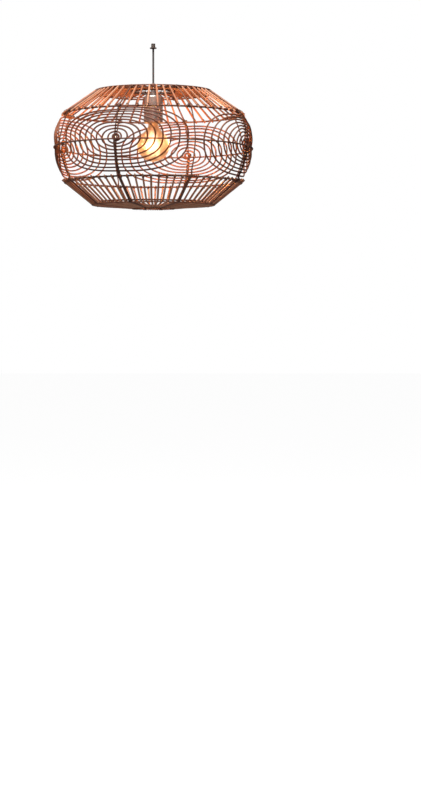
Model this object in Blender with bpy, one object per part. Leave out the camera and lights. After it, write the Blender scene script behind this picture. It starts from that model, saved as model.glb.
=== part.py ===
"""A round rattan lamp shade on a short cord: a cane cage with four coiled "eyes", its fitter,
a screw lampholder and a globe lamp.  Metres, +Z up, origin where the cord leaves the lamp's arm."""

import math

import bmesh
import bpy
from mathutils import Vector

# The cage, as radii and heights below the arm
CROWN_Z = -0.1083
CROWN_RADIUS = 0.1435
OPENING_RADIUS = 0.0500
OPENING_Z = CROWN_Z + 0.0040
UPPER_LIP = (0.2280, CROWN_Z - 0.0580)
LOWER_LIP = (0.2262, CROWN_Z - 0.2199)
BASE_RADIUS = 0.1520
BASE_Z = CROWN_Z - 0.2795
MOUTH_Z = CROWN_Z - 0.2882
EQUATOR_Z = CROWN_Z - 0.1360
BAND_CENTRE = (0.0925, CROWN_Z - 0.1350)
BAND_ARC_RADIUS = 0.1500
EQUATOR_RADIUS = BAND_CENTRE[0] + BAND_ARC_RADIUS

# Cane sizes
CANE = 0.0034
RING_RADIUS = 0.0022
EQUATOR_CANE_RADIUS = 0.0018
RIB_RADIUS = 0.0020
GAP = 0.0003
LIP_OVERHANG = 0.0090
BINDING_WIDTH = 0.0060
RIB_KNUCKLE = (0.0020, 0.0022)  # where a rib turns over a lip: back from its tip, and out from the canes
BAND_ENDS = (UPPER_LIP[1] - 0.0060, LOWER_LIP[1] + 0.0070)  # between which a rib follows the band
RIB_HUMP = 0.0200  # half the height over which a rib rises across the equator ring
RIB_BAND_STEPS = 10

# The pattern round the cage
RIBS = 8
FIRST_RIB_AZIMUTH = math.radians(-19.8)
UPPER_CANES = 6  # between one rib and the next
UPPER_SHIFT = math.radians(-1.3)
LOWER_CANES = 8
EYES = 4
EYE_OVALS = 11
EYE_HALF_WIDTH = math.radians(42.4)
EYE_RISE = 0.0715
EYE_DROP = 0.0845
EYE_HEART = (0.0040, 0.0030, 0.0030)  # half width, rise and drop that the ovals grow from
EYE_CENTRE_Z = EQUATOR_Z + 0.0045
EYE_TURNS = [math.radians(turn) for turn in (-68, -38, 0, 38, 68)]
TIE_HALF_WIDTH = 0.0040
RING_SEGMENTS = 40

# Cord and lampholder, whose heights are measured from HOLDER_Z
HOLDER_Z = CROWN_Z + 0.0035
CORD_RADIUS = 0.0024
ARM_PIVOT_Z = 0.0010
SLEEVE_PIVOT_Z = HOLDER_Z + 0.0125
CORD_STEPS = 8
STEM_BORE = 0.00515
FITTER_SIDES = 12
FITTER_HUB = 0.0090
FITTER_REACH = OPENING_RADIUS - 0.0005
FITTER_LOW = HOLDER_Z - 0.01405
FITTER_HIGH = OPENING_Z - 0.0042
FITTER_STRIP = 0.0015
TURNED_SEGMENTS = 18
GLOBE_RADIUS = 0.0400
GLOBE_Z = HOLDER_Z - 0.1365
GLOBE_NECK = [(0.0122, -0.0740), (0.0122, -0.0850), (0.0142, -0.0928), (0.0187, -0.0995)]
GLOBE_START = math.radians(38)  # where the ball leaves the neck, from straight up
GLOBE_STEPS = 9
GLASS_WALL = 0.0008
FILAMENT_RUNS = 9
FILAMENT_ENDS = ((0.0080, -0.1130), (0.0150, -0.1650))
FILAMENT_RADIUS = 0.0006
CONDUCTOR_RADIUS = 0.0008
INNER_FLEX_RADIUS = 0.0023

COLOURS = {
    "cane": (0.42, 0.20, 0.11, 0.62, 0.0),
    "frame_cane": (0.25, 0.12, 0.08, 0.60, 0.0),
    "nickel": (0.55, 0.50, 0.47, 0.30, 1.0),
    "steel": (0.45, 0.45, 0.45, 0.35, 1.0),
    "brass": (0.72, 0.55, 0.28, 0.35, 1.0),
    "bakelite": (0.05, 0.035, 0.03, 0.40, 0.0),
    "porcelain": (0.85, 0.83, 0.78, 0.25, 0.0),
    "amber_glass": (0.90, 0.62, 0.35, 0.08, 0.0),
    "filament": (1.0, 0.70, 0.30, 0.50, 0.0),
    "flex": (0.13, 0.12, 0.12, 0.55, 0.0),
    "sleeve": (0.35, 0.13, 0.09, 0.55, 0.0),
}


def clear_scene():
    for obj in list(bpy.data.objects):
        bpy.data.objects.remove(obj, do_unlink=True)


def material(name):
    """The named Principled material, made once."""
    found = bpy.data.materials.get(name)
    if found:
        return found
    red, green, blue, roughness, metallic = COLOURS[name]
    made = bpy.data.materials.new(name)
    made.use_nodes = True
    shader = made.node_tree.nodes["Principled BSDF"]
    shader.inputs["Base Color"].default_value = (red, green, blue, 1.0)
    shader.inputs["Roughness"].default_value = roughness
    shader.inputs["Metallic"].default_value = metallic
    return made


def add_mesh(name, bm, finish, smooth=True):
    """Turns the bmesh into a named object with its material."""
    mesh = bpy.data.meshes.new(name)
    bm.to_mesh(mesh)
    bm.free()
    if smooth:
        mesh.shade_smooth()
        mesh.set_sharp_from_angle(angle=math.radians(40))
    obj = bpy.data.objects.new(name, mesh)
    bpy.context.scene.collection.objects.link(obj)
    mesh.materials.append(material(finish))
    return obj


def add_tube(name, points, radius, finish, resolution=1):
    """A round bar along the points."""
    curve = bpy.data.curves.new(name, "CURVE")
    curve.dimensions = "3D"
    curve.bevel_depth = radius
    curve.bevel_resolution = resolution
    curve.use_fill_caps = True
    spline = curve.splines.new("POLY")
    spline.points.add(len(points) - 1)
    for place, point in zip(spline.points, points):
        place.co = (*point, 1.0)
    obj = bpy.data.objects.new(name, curve)
    bpy.context.scene.collection.objects.link(obj)
    curve.materials.append(material(finish))
    return obj


def turned(name, outline, finish, segments=TURNED_SEGMENTS):
    """A solid of revolution. The outline is (radius, height above HOLDER_Z); it closes on itself,
    or on the axis where it starts and ends at radius 0."""
    bm = bmesh.new()
    corners = [bm.verts.new((radius, 0.0, HOLDER_Z + height)) for radius, height in outline]
    on_axis = outline[0][0] == 0.0 and outline[-1][0] == 0.0
    edges = [bm.edges.new(pair) for pair in zip(corners, corners[1:])]
    if not on_axis:
        edges.append(bm.edges.new((corners[-1], corners[0])))
    bmesh.ops.spin(bm, geom=corners + edges, cent=(0, 0, 0), axis=(0, 0, 1),
                   angle=2 * math.pi, steps=segments, use_merge=True)
    bmesh.ops.remove_doubles(bm, verts=bm.verts, dist=1e-6)
    bmesh.ops.dissolve_degenerate(bm, edges=bm.edges, dist=1e-7)
    bmesh.ops.recalc_face_normals(bm, faces=bm.faces)
    return add_mesh(name, bm, finish)


def place(radius, azimuth, z):
    """A point round the cage; azimuth 0 is -Y, and it grows towards +X."""
    return Vector((radius * math.sin(azimuth), -radius * math.cos(azimuth), z))


def offset_line(start, end, distance, offset):
    """The point so far along a line from start, moved to its left by the offset."""
    along = Vector(end) - Vector(start)
    along.normalize()
    return Vector(start) + along * distance + Vector((-along.y, along.x)) * offset


def band_point(z, offset):
    """The (radius, height) on the middle band, moved out by the offset."""
    rise = z - BAND_CENTRE[1]
    reach = math.sqrt(BAND_ARC_RADIUS ** 2 - rise ** 2)
    scale = 1.0 + offset / BAND_ARC_RADIUS
    return Vector((BAND_CENTRE[0] + reach * scale, BAND_CENTRE[1] + rise * scale))


def crown_corner(offset):
    """The bend of the canes over the crown ring, moved out along its bisector."""
    cone = math.atan2(CROWN_Z - UPPER_LIP[1], UPPER_LIP[0] - CROWN_RADIUS)
    roof = math.atan2(OPENING_Z - CROWN_Z, CROWN_RADIUS - OPENING_RADIUS)
    middle = (cone + roof) / 2
    reach = offset / math.cos((cone - roof) / 2)
    return Vector((CROWN_RADIUS, CROWN_Z)) + Vector((math.sin(middle), math.cos(middle))) * reach


def base_corner(offset):
    """The bend of the canes round the base ring, moved out along its bisector."""
    cone = math.atan2(LOWER_LIP[1] - BASE_Z, LOWER_LIP[0] - BASE_RADIUS)
    floor = math.atan2(BASE_Z - MOUTH_Z, BASE_RADIUS - OPENING_RADIUS)
    middle = (cone + floor) / 2
    reach = offset / math.cos((cone - floor) / 2)
    return Vector((BASE_RADIUS, BASE_Z)) + Vector((math.sin(middle), -math.cos(middle))) * reach


def upper_cone(distance, offset):
    """A point on the upper cone, so far from its lip."""
    return offset_line(UPPER_LIP, (CROWN_RADIUS, CROWN_Z), distance, -offset)


def lower_cone(distance, offset):
    """A point on the lower cone, so far from its lip."""
    return offset_line(LOWER_LIP, (BASE_RADIUS, BASE_Z), distance, offset)


def add_ring(name, centre, radius=RING_RADIUS, segments=RING_SEGMENTS, outside=False):
    """A hoop of round cane. One outside the canes is widened so that its flats clear them."""
    hoop = centre[0] / math.cos(math.pi / segments) if outside else centre[0]
    bpy.ops.mesh.primitive_torus_add(major_segments=segments, minor_segments=5,
                                     major_radius=hoop, minor_radius=radius,
                                     location=(0, 0, centre[1]))
    ring = bpy.context.object
    ring.name = name
    ring.data.name = name
    ring.data.shade_smooth()
    ring.data.materials.append(material("frame_cane"))
    return ring


def add_rings():
    under = -(CANE / 2 + GAP + RING_RADIUS)
    over = CANE / 2 + GAP + EQUATOR_CANE_RADIUS
    add_ring("top_ring", (OPENING_RADIUS + RING_RADIUS + GAP, OPENING_Z + under), segments=24)
    add_ring("crown_ring", crown_corner(under))
    add_ring("upper_shoulder_ring", upper_cone(LIP_OVERHANG, under))
    add_ring("equator_ring", band_point(EQUATOR_Z, over), EQUATOR_CANE_RADIUS, outside=True)
    add_ring("lower_shoulder_ring", lower_cone(LIP_OVERHANG, under))
    add_ring("base_ring", base_corner(under))
    add_ring("mouth_ring", (OPENING_RADIUS + RING_RADIUS + GAP, MOUTH_Z - under), segments=24)


def rib_route():
    """The (radius, height) points of one rib, from the top ring over the outside to the mouth."""
    on_rings = GAP + RIB_RADIUS - CANE / 2
    on_band = CANE / 2 + GAP + RIB_RADIUS
    over_equator = 2 * EQUATOR_CANE_RADIUS + 4 * GAP
    route = [Vector((OPENING_RADIUS, OPENING_Z + on_rings)), crown_corner(on_rings)]
    route.append(upper_cone(LIP_OVERHANG, on_rings))
    route.append(upper_cone(*RIB_KNUCKLE))
    top, bottom = BAND_ENDS
    for step in range(RIB_BAND_STEPS + 1):
        z = top + (bottom - top) * step / RIB_BAND_STEPS
        hump = math.exp(-((z - EQUATOR_Z) / RIB_HUMP) ** 2)
        route.append(band_point(z, on_band + over_equator * hump))
    route.append(lower_cone(*RIB_KNUCKLE))
    route.append(lower_cone(LIP_OVERHANG, on_rings))
    route += [base_corner(on_rings), Vector((OPENING_RADIUS, MOUTH_Z - on_rings))]
    return route


def add_ribs():
    route = rib_route()
    for number in range(RIBS):
        azimuth = FIRST_RIB_AZIMUTH + number * 2 * math.pi / RIBS
        points = [place(radius, azimuth, z) for radius, z in route]
        add_tube(f"rib_{number + 1}", points, RIB_RADIUS, "frame_cane")


def add_bay(name, route, azimuth, canes):
    """Straight canes between two ribs, held side by side by a flat binding at the lip."""
    bm = bmesh.new()
    step = 2 * math.pi / (RIBS * (canes + 1))
    last_right = None
    for cane in range(1, canes + 1):
        middle = azimuth + cane * step
        across = Vector((math.cos(middle), math.sin(middle), 0.0)) * (CANE / 2)
        left = [bm.verts.new(place(radius, middle, z) - across) for radius, z in route]
        right = [bm.verts.new(place(radius, middle, z) + across) for radius, z in route]
        for row in range(len(route) - 1):
            bm.faces.new((left[row], right[row], right[row + 1], left[row + 1]))
        if last_right:
            bm.faces.new((last_right[0], left[0], left[1], last_right[1]))
        last_right = right
    bmesh.ops.recalc_face_normals(bm, faces=bm.faces)
    bay = add_mesh(name, bm, "cane", smooth=False)
    thicken(bay, CANE)
    return bay


def thicken(obj, thickness):
    wall = obj.modifiers.new("thickness", "SOLIDIFY")
    wall.thickness = thickness
    wall.offset = 0.0
    wall.use_even_offset = True


def add_bays():
    upper = [UPPER_LIP, upper_cone(BINDING_WIDTH, 0.0), crown_corner(0.0)]
    upper.append(Vector((OPENING_RADIUS, OPENING_Z)))
    lower = [LOWER_LIP, lower_cone(BINDING_WIDTH, 0.0), base_corner(0.0)]
    lower.append(Vector((OPENING_RADIUS, MOUTH_Z)))
    for number in range(RIBS):
        azimuth = FIRST_RIB_AZIMUTH + number * 2 * math.pi / RIBS
        add_bay(f"upper_canes_{number + 1}", upper, azimuth + UPPER_SHIFT, UPPER_CANES)
        add_bay(f"lower_canes_{number + 1}", lower, azimuth, LOWER_CANES)


def spread(size, inner, outer, early):
    """Grows from inner to outer with the size, faster at first when early is over 1."""
    return inner + (outer - inner) * (early * size - (early - 1.0) * size ** 2)


def oval(size):
    """The (sideways, upward) points round one oval, anticlockwise, in metres along the band. Size 1 is
    the outermost, which is squarer than the inner ones, and they lie closer above the centre than below."""
    power = 2.0 / (2.0 + 0.7 * size)
    width = spread(size, EYE_HEART[0], EYE_HALF_WIDTH * EQUATOR_RADIUS, 0.75)
    rise = spread(size, EYE_HEART[1], EYE_RISE, 1.15)
    drop = spread(size, EYE_HEART[2], EYE_DROP, 0.9)
    half = [Vector((TIE_HALF_WIDTH, -drop))]
    for turn in EYE_TURNS:
        lift = math.copysign(abs(math.sin(turn)) ** power, turn)
        half.append(Vector((width * math.cos(turn) ** power, lift * (rise if lift > 0 else drop))))
    half.append(Vector((TIE_HALF_WIDTH, rise)))
    return half + [Vector((-point.x, point.y)) for point in reversed(half)]


def edge_lines(outline, half_width):
    """The outline moved in and out by the half width, square to itself."""
    lines = ([], [])
    for index, point in enumerate(outline):
        along = (outline[(index + 1) % len(outline)] - outline[index - 1]).normalized()
        across = Vector((along.y, -along.x)) * half_width
        lines[0].append(point - across)
        lines[1].append(point + across)
    return lines


def on_band(point, azimuth):
    """A flat (sideways, upward) point of an eye, wrapped on the middle band."""
    radius, z = band_point(EYE_CENTRE_Z + point.y, 0.0)
    return place(radius, azimuth + point.x / EQUATOR_RADIUS, z)


def add_eye(name, azimuth):
    """Concentric oval canes, tied together along the rib that crosses them."""
    bm = bmesh.new()
    rows = []
    for number in range(1, EYE_OVALS + 1):
        for line in edge_lines(oval(number / EYE_OVALS), CANE / 2):
            rows.append([bm.verts.new(on_band(point, azimuth)) for point in line])
    around = len(rows[0])
    ties = (around // 2 - 1, around - 1)
    for row, (inner, outer) in enumerate(zip(rows, rows[1:])):
        is_cane = row % 2 == 0
        for index in range(around):
            after = (index + 1) % around
            if is_cane or index in ties:
                bm.faces.new((inner[index], outer[index], outer[after], inner[after]))
    bmesh.ops.recalc_face_normals(bm, faces=bm.faces)
    eye = add_mesh(name, bm, "cane", smooth=False)
    thicken(eye, CANE)
    return eye


def add_eyes():
    for number in range(EYES):
        azimuth = FIRST_RIB_AZIMUTH + number * 2 * math.pi / EYES
        add_eye(f"eye_coil_{number + 1}", azimuth)


def add_fitter():
    """A flat hub with three arms that rise to the top ring."""
    bm = bmesh.new()
    inner, outer = [], []
    for side in range(FITTER_SIDES):
        azimuth = 2 * math.pi * (side + 0.5) / FITTER_SIDES
        inner.append(bm.verts.new(place(STEM_BORE, azimuth, 0.0)))
        outer.append(bm.verts.new(place(FITTER_HUB, azimuth, 0.0)))
    length = FITTER_REACH - FITTER_HUB
    for side in range(FITTER_SIDES):
        after = (side + 1) % FITTER_SIDES
        bm.faces.new((inner[side], outer[side], outer[after], inner[after]))
        if side % 4 == 1:
            corners = (outer[side], outer[after])
            direction = (corners[0].co + corners[1].co).normalized()
            far = [bm.verts.new(corner.co + direction * length) for corner in corners]
            bm.faces.new((corners[0], far[0], far[1], corners[1]))
    for corner in bm.verts:
        rise = max(0.0, corner.co.to_2d().length - FITTER_HUB - 0.0005) / length
        corner.co.z = FITTER_LOW + (FITTER_HIGH - FITTER_LOW) * rise
    bmesh.ops.recalc_face_normals(bm, faces=bm.faces)
    fitter = add_mesh("fitter_spider", bm, "steel", smooth=False)
    thicken(fitter, FITTER_STRIP)


def add_lampholder():
    turned("cord_grip", [(0.0065, 0.0077), (0.0065, -0.0130), (0.0052, -0.0130), (0.0052, -0.0040),
                         (0.0029, -0.0040), (0.0029, 0.0077)], "nickel")
    turned("threaded_stem", [(0.0048, -0.0044), (0.0048, -0.0240), (0.0031, -0.0240), (0.0031, -0.0044)],
           "brass")
    turned("stem_nut", [(0.0080, -0.0164), (0.0080, -0.0200), (STEM_BORE, -0.0200), (STEM_BORE, -0.0164)],
           "brass", segments=6 * 3)
    turned("holder_cup", [(STEM_BORE, -0.0151), (0.0215, -0.0151), (0.0235, -0.0171), (0.0235, -0.0800),
                          (0.0225, -0.0800), (0.0225, -0.0177), (0.0209, -0.0161), (STEM_BORE, -0.0161)],
           "nickel", segments=24)
    turned("holder_cap", [(STEM_BORE, -0.0204), (0.0090, -0.0204), (0.0190, -0.0270), (0.0190, -0.0380),
                          (0.0168, -0.0380), (0.0168, -0.0282), (0.0082, -0.0226), (STEM_BORE, -0.0226)],
           "bakelite")
    turned("holder_body", [(0.0192, -0.0383), (0.0192, -0.0760), (0.0152, -0.0760), (0.0152, -0.0383)],
           "bakelite")
    turned("contact_block", [(0.0148, -0.0420), (0.0148, -0.0500), (0.0021, -0.0500), (0.0021, -0.0420)],
           "porcelain")
    turned("centre_contact", [(0.0, -0.0408), (0.0017, -0.0408), (0.0017, -0.0503), (0.0040, -0.0503),
                              (0.0040, -0.0518), (0.0, -0.0518)], "brass")
    turned("thread_sleeve", [(0.0146, -0.0504), (0.0146, -0.0750), (0.0140, -0.0750), (0.0140, -0.0504)],
           "brass")


def add_flex():
    """The cord inside the fittings, and its two conductors down to the contact block."""
    add_tube("inner_flex", [Vector((0, 0, HOLDER_Z + z)) for z in (0.0074, -0.0050, -0.0150, -0.0260)],
             INNER_FLEX_RADIUS, "flex")
    route = ((0.0012, -0.0264), (0.0014, -0.0290), (0.0040, -0.0340), (0.0070, -0.0380), (0.0078, -0.0416))
    for number, side in enumerate((-1, 1)):
        points = [Vector((side * x, 0.0, HOLDER_Z + z)) for x, z in route]
        add_tube(f"conductor_{number + 1}", points, CONDUCTOR_RADIUS, "flex")


def glass_side(offset):
    """One side of the lamp's glass from its neck to the foot of the ball, as for turned()."""
    points = [(radius - offset, height) for radius, height in GLOBE_NECK]
    ball = GLOBE_RADIUS - offset
    for step in range(GLOBE_STEPS + 1):
        angle = GLOBE_START + (math.pi - GLOBE_START) * step / GLOBE_STEPS
        points.append((ball * math.sin(angle), GLOBE_Z - HOLDER_Z + ball * math.cos(angle)))
    points[-1] = (0.0, points[-1][1])
    return points


def add_bulb():
    bm = bmesh.new()
    edges = []
    rim = []
    for outline in (glass_side(0.0), glass_side(GLASS_WALL)):
        corners = [bm.verts.new((radius, 0.0, HOLDER_Z + height)) for radius, height in outline]
        edges += [bm.edges.new(pair) for pair in zip(corners, corners[1:])]
        rim.append(corners[0])
    edges.append(bm.edges.new(rim))
    bmesh.ops.spin(bm, geom=list(bm.verts) + edges, cent=(0, 0, 0), axis=(0, 0, 1),
                   angle=2 * math.pi, steps=TURNED_SEGMENTS, use_merge=True)
    bmesh.ops.remove_doubles(bm, verts=bm.verts, dist=1e-6)
    bmesh.ops.dissolve_degenerate(bm, edges=bm.edges, dist=1e-7)
    bmesh.ops.recalc_face_normals(bm, faces=bm.faces)
    glass = add_mesh("bulb_glass", bm, "amber_glass")
    parts = [glass]
    cap = [(0.0060, -0.0578), (0.0095, -0.0578), (0.0132, -0.0605), (0.0132, -0.0830),
           (0.0126, -0.0830), (0.0126, -0.0608), (0.0092, -0.0586), (0.0060, -0.0586)]
    insulator = [(0.0, -0.0545), (0.0055, -0.0545), (0.0092, -0.0575), (0.0, -0.0575)]
    contact = [(0.0, -0.0521), (0.0030, -0.0524), (0.0045, -0.0542), (0.0, -0.0542)]
    stem = [(0.0, -0.0770), (0.0108, -0.0770), (0.0050, -0.0850), (0.0022, -0.0920),
            (0.0022, -0.1240), (0.0, -0.1240)]
    parts += [turned("bulb_cap", cap, "nickel"), turned("bulb_insulator", insulator, "bakelite"),
              turned("bulb_contact", contact, "brass"), turned("bulb_stem", stem, "amber_glass")]
    points = []
    for run in range(FILAMENT_RUNS):
        for radius, height in FILAMENT_ENDS if run % 2 else FILAMENT_ENDS[::-1]:
            points.append(place(radius, 2 * math.pi * run / (FILAMENT_RUNS + 1), HOLDER_Z + height))
    parts.append(add_tube("filament", points, FILAMENT_RADIUS, "filament", resolution=0))
    return parts


def add_cord():
    """The moulded bush in the arm, the free drop of cord, and the sleeve that it hangs the shade by.
    Both ends of the drop sit in flared pockets, which leave it room to swing."""
    up = -HOLDER_Z
    turned("arm_bush", [(0.0, up + 0.0100), (0.0050, up + 0.0100), (0.0050, up), (0.0085, up),
                        (0.0085, up - 0.0025), (0.0050, up - 0.0025), (0.0031, up + 0.0005),
                        (0.0031, up + 0.0032), (0.0, up + 0.0032)], "bakelite")
    sleeve = turned("cord_sleeve", [(0.0, 0.0105), (0.0031, 0.0105), (0.0031, 0.0130), (0.0050, 0.0160),
                                    (0.0060, 0.0160), (0.0060, 0.0080), (0.0, 0.0080)], "sleeve")
    drop = SLEEVE_PIVOT_Z - ARM_PIVOT_Z
    points = [Vector((0, 0, ARM_PIVOT_Z + drop * step / CORD_STEPS)) for step in range(CORD_STEPS + 1)]
    cord = add_tube("drop_cord", points, CORD_RADIUS, "flex", resolution=2)
    return cord, sleeve


def add_pivot(name, z, children, parent=None):
    """An empty on a joint's axis, which carries the pieces that turn or slide there."""
    pivot = bpy.data.objects.new(name, None)
    bpy.context.scene.collection.objects.link(pivot)
    pivot.location = (0, 0, z)
    bpy.context.view_layer.update()
    for child in children:
        child.parent = pivot
        child.matrix_parent_inverse = pivot.matrix_world.inverted()
    if parent:
        pivot.parent = parent
        pivot.matrix_parent_inverse = parent.matrix_world.inverted()
    return pivot


def main():
    clear_scene()
    cord, sleeve = add_cord()
    bulb = add_bulb()
    fixed = set(bpy.data.objects)
    add_rings()
    add_ribs()
    add_bays()
    add_eyes()
    add_fitter()
    add_lampholder()
    add_flex()
    pendant = [obj for obj in bpy.data.objects if obj not in fixed]
    swing = add_pivot("cord_swing_axis", ARM_PIVOT_Z, [cord])
    tilt = add_pivot("shade_tilt_axis", SLEEVE_PIVOT_Z, [sleeve], swing)
    twist = add_pivot("shade_twist_axis", HOLDER_Z, pendant, tilt)
    add_pivot("bulb_axis", GLOBE_Z, bulb, twist)


main()
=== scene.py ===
import math
import random

import bmesh
import bpy
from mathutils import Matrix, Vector


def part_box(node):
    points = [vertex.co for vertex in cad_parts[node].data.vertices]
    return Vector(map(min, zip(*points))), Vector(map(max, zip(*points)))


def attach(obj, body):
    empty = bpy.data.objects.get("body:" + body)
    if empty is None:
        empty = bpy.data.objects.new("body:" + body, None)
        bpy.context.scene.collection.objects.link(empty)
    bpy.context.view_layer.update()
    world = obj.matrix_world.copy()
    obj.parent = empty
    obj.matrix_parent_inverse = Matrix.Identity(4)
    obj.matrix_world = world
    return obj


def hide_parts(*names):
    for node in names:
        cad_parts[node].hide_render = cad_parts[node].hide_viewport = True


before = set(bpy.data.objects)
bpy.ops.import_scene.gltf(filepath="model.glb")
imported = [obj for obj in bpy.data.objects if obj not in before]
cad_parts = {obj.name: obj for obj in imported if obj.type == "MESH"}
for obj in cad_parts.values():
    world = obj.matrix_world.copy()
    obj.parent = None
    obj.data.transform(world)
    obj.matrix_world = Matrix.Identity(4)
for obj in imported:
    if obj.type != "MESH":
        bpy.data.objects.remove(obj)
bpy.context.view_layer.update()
print("frame loaded")


def addCamera(settings):
    camera = bpy.data.objects.new("camera", bpy.data.cameras.new("camera"))
    bpy.context.scene.collection.objects.link(camera)
    camera.data.lens = settings["lens"]
    camera.data.sensor_width = 36.0
    camera.location = (settings["side"], -settings["distance"], settings["height"])
    camera.rotation_euler = (math.radians(90.0 - settings["lookDown"]), 0.0, 0.0)
    camera.data.clip_end = 100.0
    bpy.context.scene.camera = camera


addCamera({"lens": 87.75, "distance": 4.87, "side": 0.142, "height": -0.655, "lookDown": 2.58})

# the cage's make-up: lengths are in metres and angles in radians
cage = {
    "bays": 8, "eyes": 4, "upperCanes": 6, "lowerCanes": 8, "firstRib": math.radians(-19.8),
    "upperShift": math.radians(-1.3), "hoopBar": 0.0022, "equatorBar": 0.0018, "equatorSides": 40,
    "coilToHoop": 0.0038, "bandArc": 0.1500, "bandRise": 0.0010, "sag": 0.0042, "lipRun": 0.0090,
    "seed": 7,
}


def hoopCentre(node, bar="hoopBar"):
    # (radius, height) of the middle of a hoop's bar
    low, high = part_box(node)
    return Vector(((high.x - low.x) / 2 - cage[bar], (low.z + high.z) / 2))


topHoop = hoopCentre("top_ring")
crownHoop = hoopCentre("crown_ring")
shoulderHoop = hoopCentre("upper_shoulder_ring")
equatorHoop = hoopCentre("equator_ring", "equatorBar")
lowShoulderHoop = hoopCentre("lower_shoulder_ring")
baseHoop = hoopCentre("base_ring")
mouthHoop = hoopCentre("mouth_ring")
equatorHoop.x *= math.cos(math.pi / cage["equatorSides"])  # its node has straight sides
bandRadius = equatorHoop.x - cage["coilToHoop"]
bandHeart = Vector((bandRadius - cage["bandArc"], equatorHoop.y + cage["bandRise"]))
cupTop = -0.0151  # below the level that every height in the lampholder and the lamp is given from
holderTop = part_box("holder_cup")[1].z - cupTop
random.seed(cage["seed"])


def place(radius, azimuth, height):
    return Vector((radius * math.sin(azimuth), -radius * math.cos(azimuth), height))


def sideways(azimuth):
    # the way round the cage
    return Vector((math.cos(azimuth), math.sin(azimuth), 0))


def outward(azimuth, tilt=0.0):
    # the way a surface faces: tilt is how far it looks up, in radians
    return place(math.cos(tilt), azimuth, math.sin(tilt))


def ribAzimuth(number):
    return cage["firstRib"] + number * 2 * math.pi / cage["bays"]


def eyeAzimuth(number):
    return cage["firstRib"] + number * 2 * math.pi / cage["eyes"]


def equatorSag(azimuth):
    # the hoop and the eyes are tied a little lower on the side away from the first eye
    return -cage["sag"] * (1 - math.cos(azimuth - cage["firstRib"]))


def anyPhase():
    return random.uniform(0, 6.28)  # somewhere within a turn


def bandPoint(height, offset=0.0):
    # (radius, height) on the rounded band, or as far outside it as the offset
    rise = height - bandHeart.y
    reach = math.sqrt(cage["bandArc"] ** 2 - rise ** 2)
    scale = 1.0 + offset / cage["bandArc"]
    return Vector((bandHeart.x + reach * scale, bandHeart.y + rise * scale))


def smoothLine(points, perSpan):
    # a flowing line through the points; each end counts twice, so the line reaches it
    padded = [points[0]] + list(points) + [points[-1]]
    line = []
    for i in range(1, len(padded) - 2):
        a, b, c, d = padded[i - 1:i + 3]
        for step in range(perSpan):
            t = step / perSpan
            line.append(0.5 * (2 * b + (c - a) * t + (2 * a - 5 * b + 4 * c - d) * t ** 2
                               + (3 * b - a - 3 * c + d) * t ** 3))
    line.append(points[-1])
    return line


def addStrand(bm, points, radius, tone, closed=False, sides=8, taper=0.0):
    # one cane, swept by a bevelled curve; its UV is (around, metres along)
    curve = bpy.data.curves.new("strand", "CURVE")
    curve.dimensions = "3D"
    curve.bevel_depth = 1.0
    curve.bevel_resolution = (sides - 4) // 2
    curve.use_fill_caps = not closed
    spline = curve.splines.new("POLY")
    spline.points.add(len(points) - 1)
    spline.use_cyclic_u = closed
    last = len(points) - 1
    for i, (knot, point) in enumerate(zip(spline.points, points)):
        knot.co = (*point, 1.0)
        thickness = radius[i] if isinstance(radius, list) else radius
        knot.radius = thickness * (1.0 - taper if i in (0, last) else 1.0)
    holder = bpy.data.objects.new("strand", curve)
    mesh = bpy.data.meshes.new_from_object(holder)
    length = sum((b - a).length for a, b in zip(points, points[1:]))
    for corner in mesh.uv_layers[0].data:
        corner.uv = (corner.uv[0], corner.uv[1] * length)
    tones = mesh.attributes.new("tone", "FLOAT", "POINT")
    tones.data.foreach_set("value", [tone] * len(mesh.vertices))
    bm.from_mesh(mesh)
    bpy.data.objects.remove(holder)
    bpy.data.curves.remove(curve)
    bpy.data.meshes.remove(mesh)


weld = {"doubles": 1e-6, "slivers": 1e-7}


def finishPiece(name, bm, material, body, replaced=(), smooth=40.0):
    bmesh.ops.remove_doubles(bm, verts=bm.verts, dist=weld["doubles"])
    bmesh.ops.recalc_face_normals(bm, faces=bm.faces)
    mesh = bpy.data.meshes.new(name)
    bm.to_mesh(mesh)
    bm.free()
    mesh.materials.append(material)
    mesh.shade_smooth()
    if smooth:
        mesh.set_sharp_from_angle(angle=math.radians(smooth))
    piece = bpy.data.objects.new(name, mesh)
    bpy.context.scene.collection.objects.link(piece)
    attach(piece, body)
    if replaced:
        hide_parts(*replaced)
    return piece


def turnedShape(bm, outline, segments=64):
    # outline is (radius, height from holderTop); it closes on itself or on the axis
    corners = [bm.verts.new((radius, 0.0, holderTop + height)) for radius, height in outline]
    sides = zip(corners, corners[1:] + corners[:1])
    edges = [bm.edges.new((here, after)) for here, after in sides if here.co.x or after.co.x]
    bmesh.ops.spin(bm, geom=corners + edges, cent=(0, 0, 0), axis=(0, 0, 1),
                   angle=2 * math.pi, steps=segments, use_merge=True)
    bmesh.ops.remove_doubles(bm, verts=bm.verts, dist=weld["doubles"])
    bmesh.ops.dissolve_degenerate(bm, edges=bm.edges, dist=weld["slivers"])
    bmesh.ops.recalc_face_normals(bm, faces=bm.faces)


def roundCorners(bm, sharperThan, width):
    # sharperThan is in radians
    creases = [edge for edge in bm.edges
               if len(edge.link_faces) == 2 and edge.calc_face_angle() > sharperThan]
    bmesh.ops.bevel(bm, geom=creases, offset=width, segments=2, affect="EDGES", profile=0.5, material=-1)


def turnedPiece(name, outline, material, body, replaced=(), segments=64, rounding=0.0):
    bm = bmesh.new()
    turnedShape(bm, outline, segments)
    if rounding:
        roundCorners(bm, 0.6, rounding)
    return finishPiece(name, bm, material, body, replaced)


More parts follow.
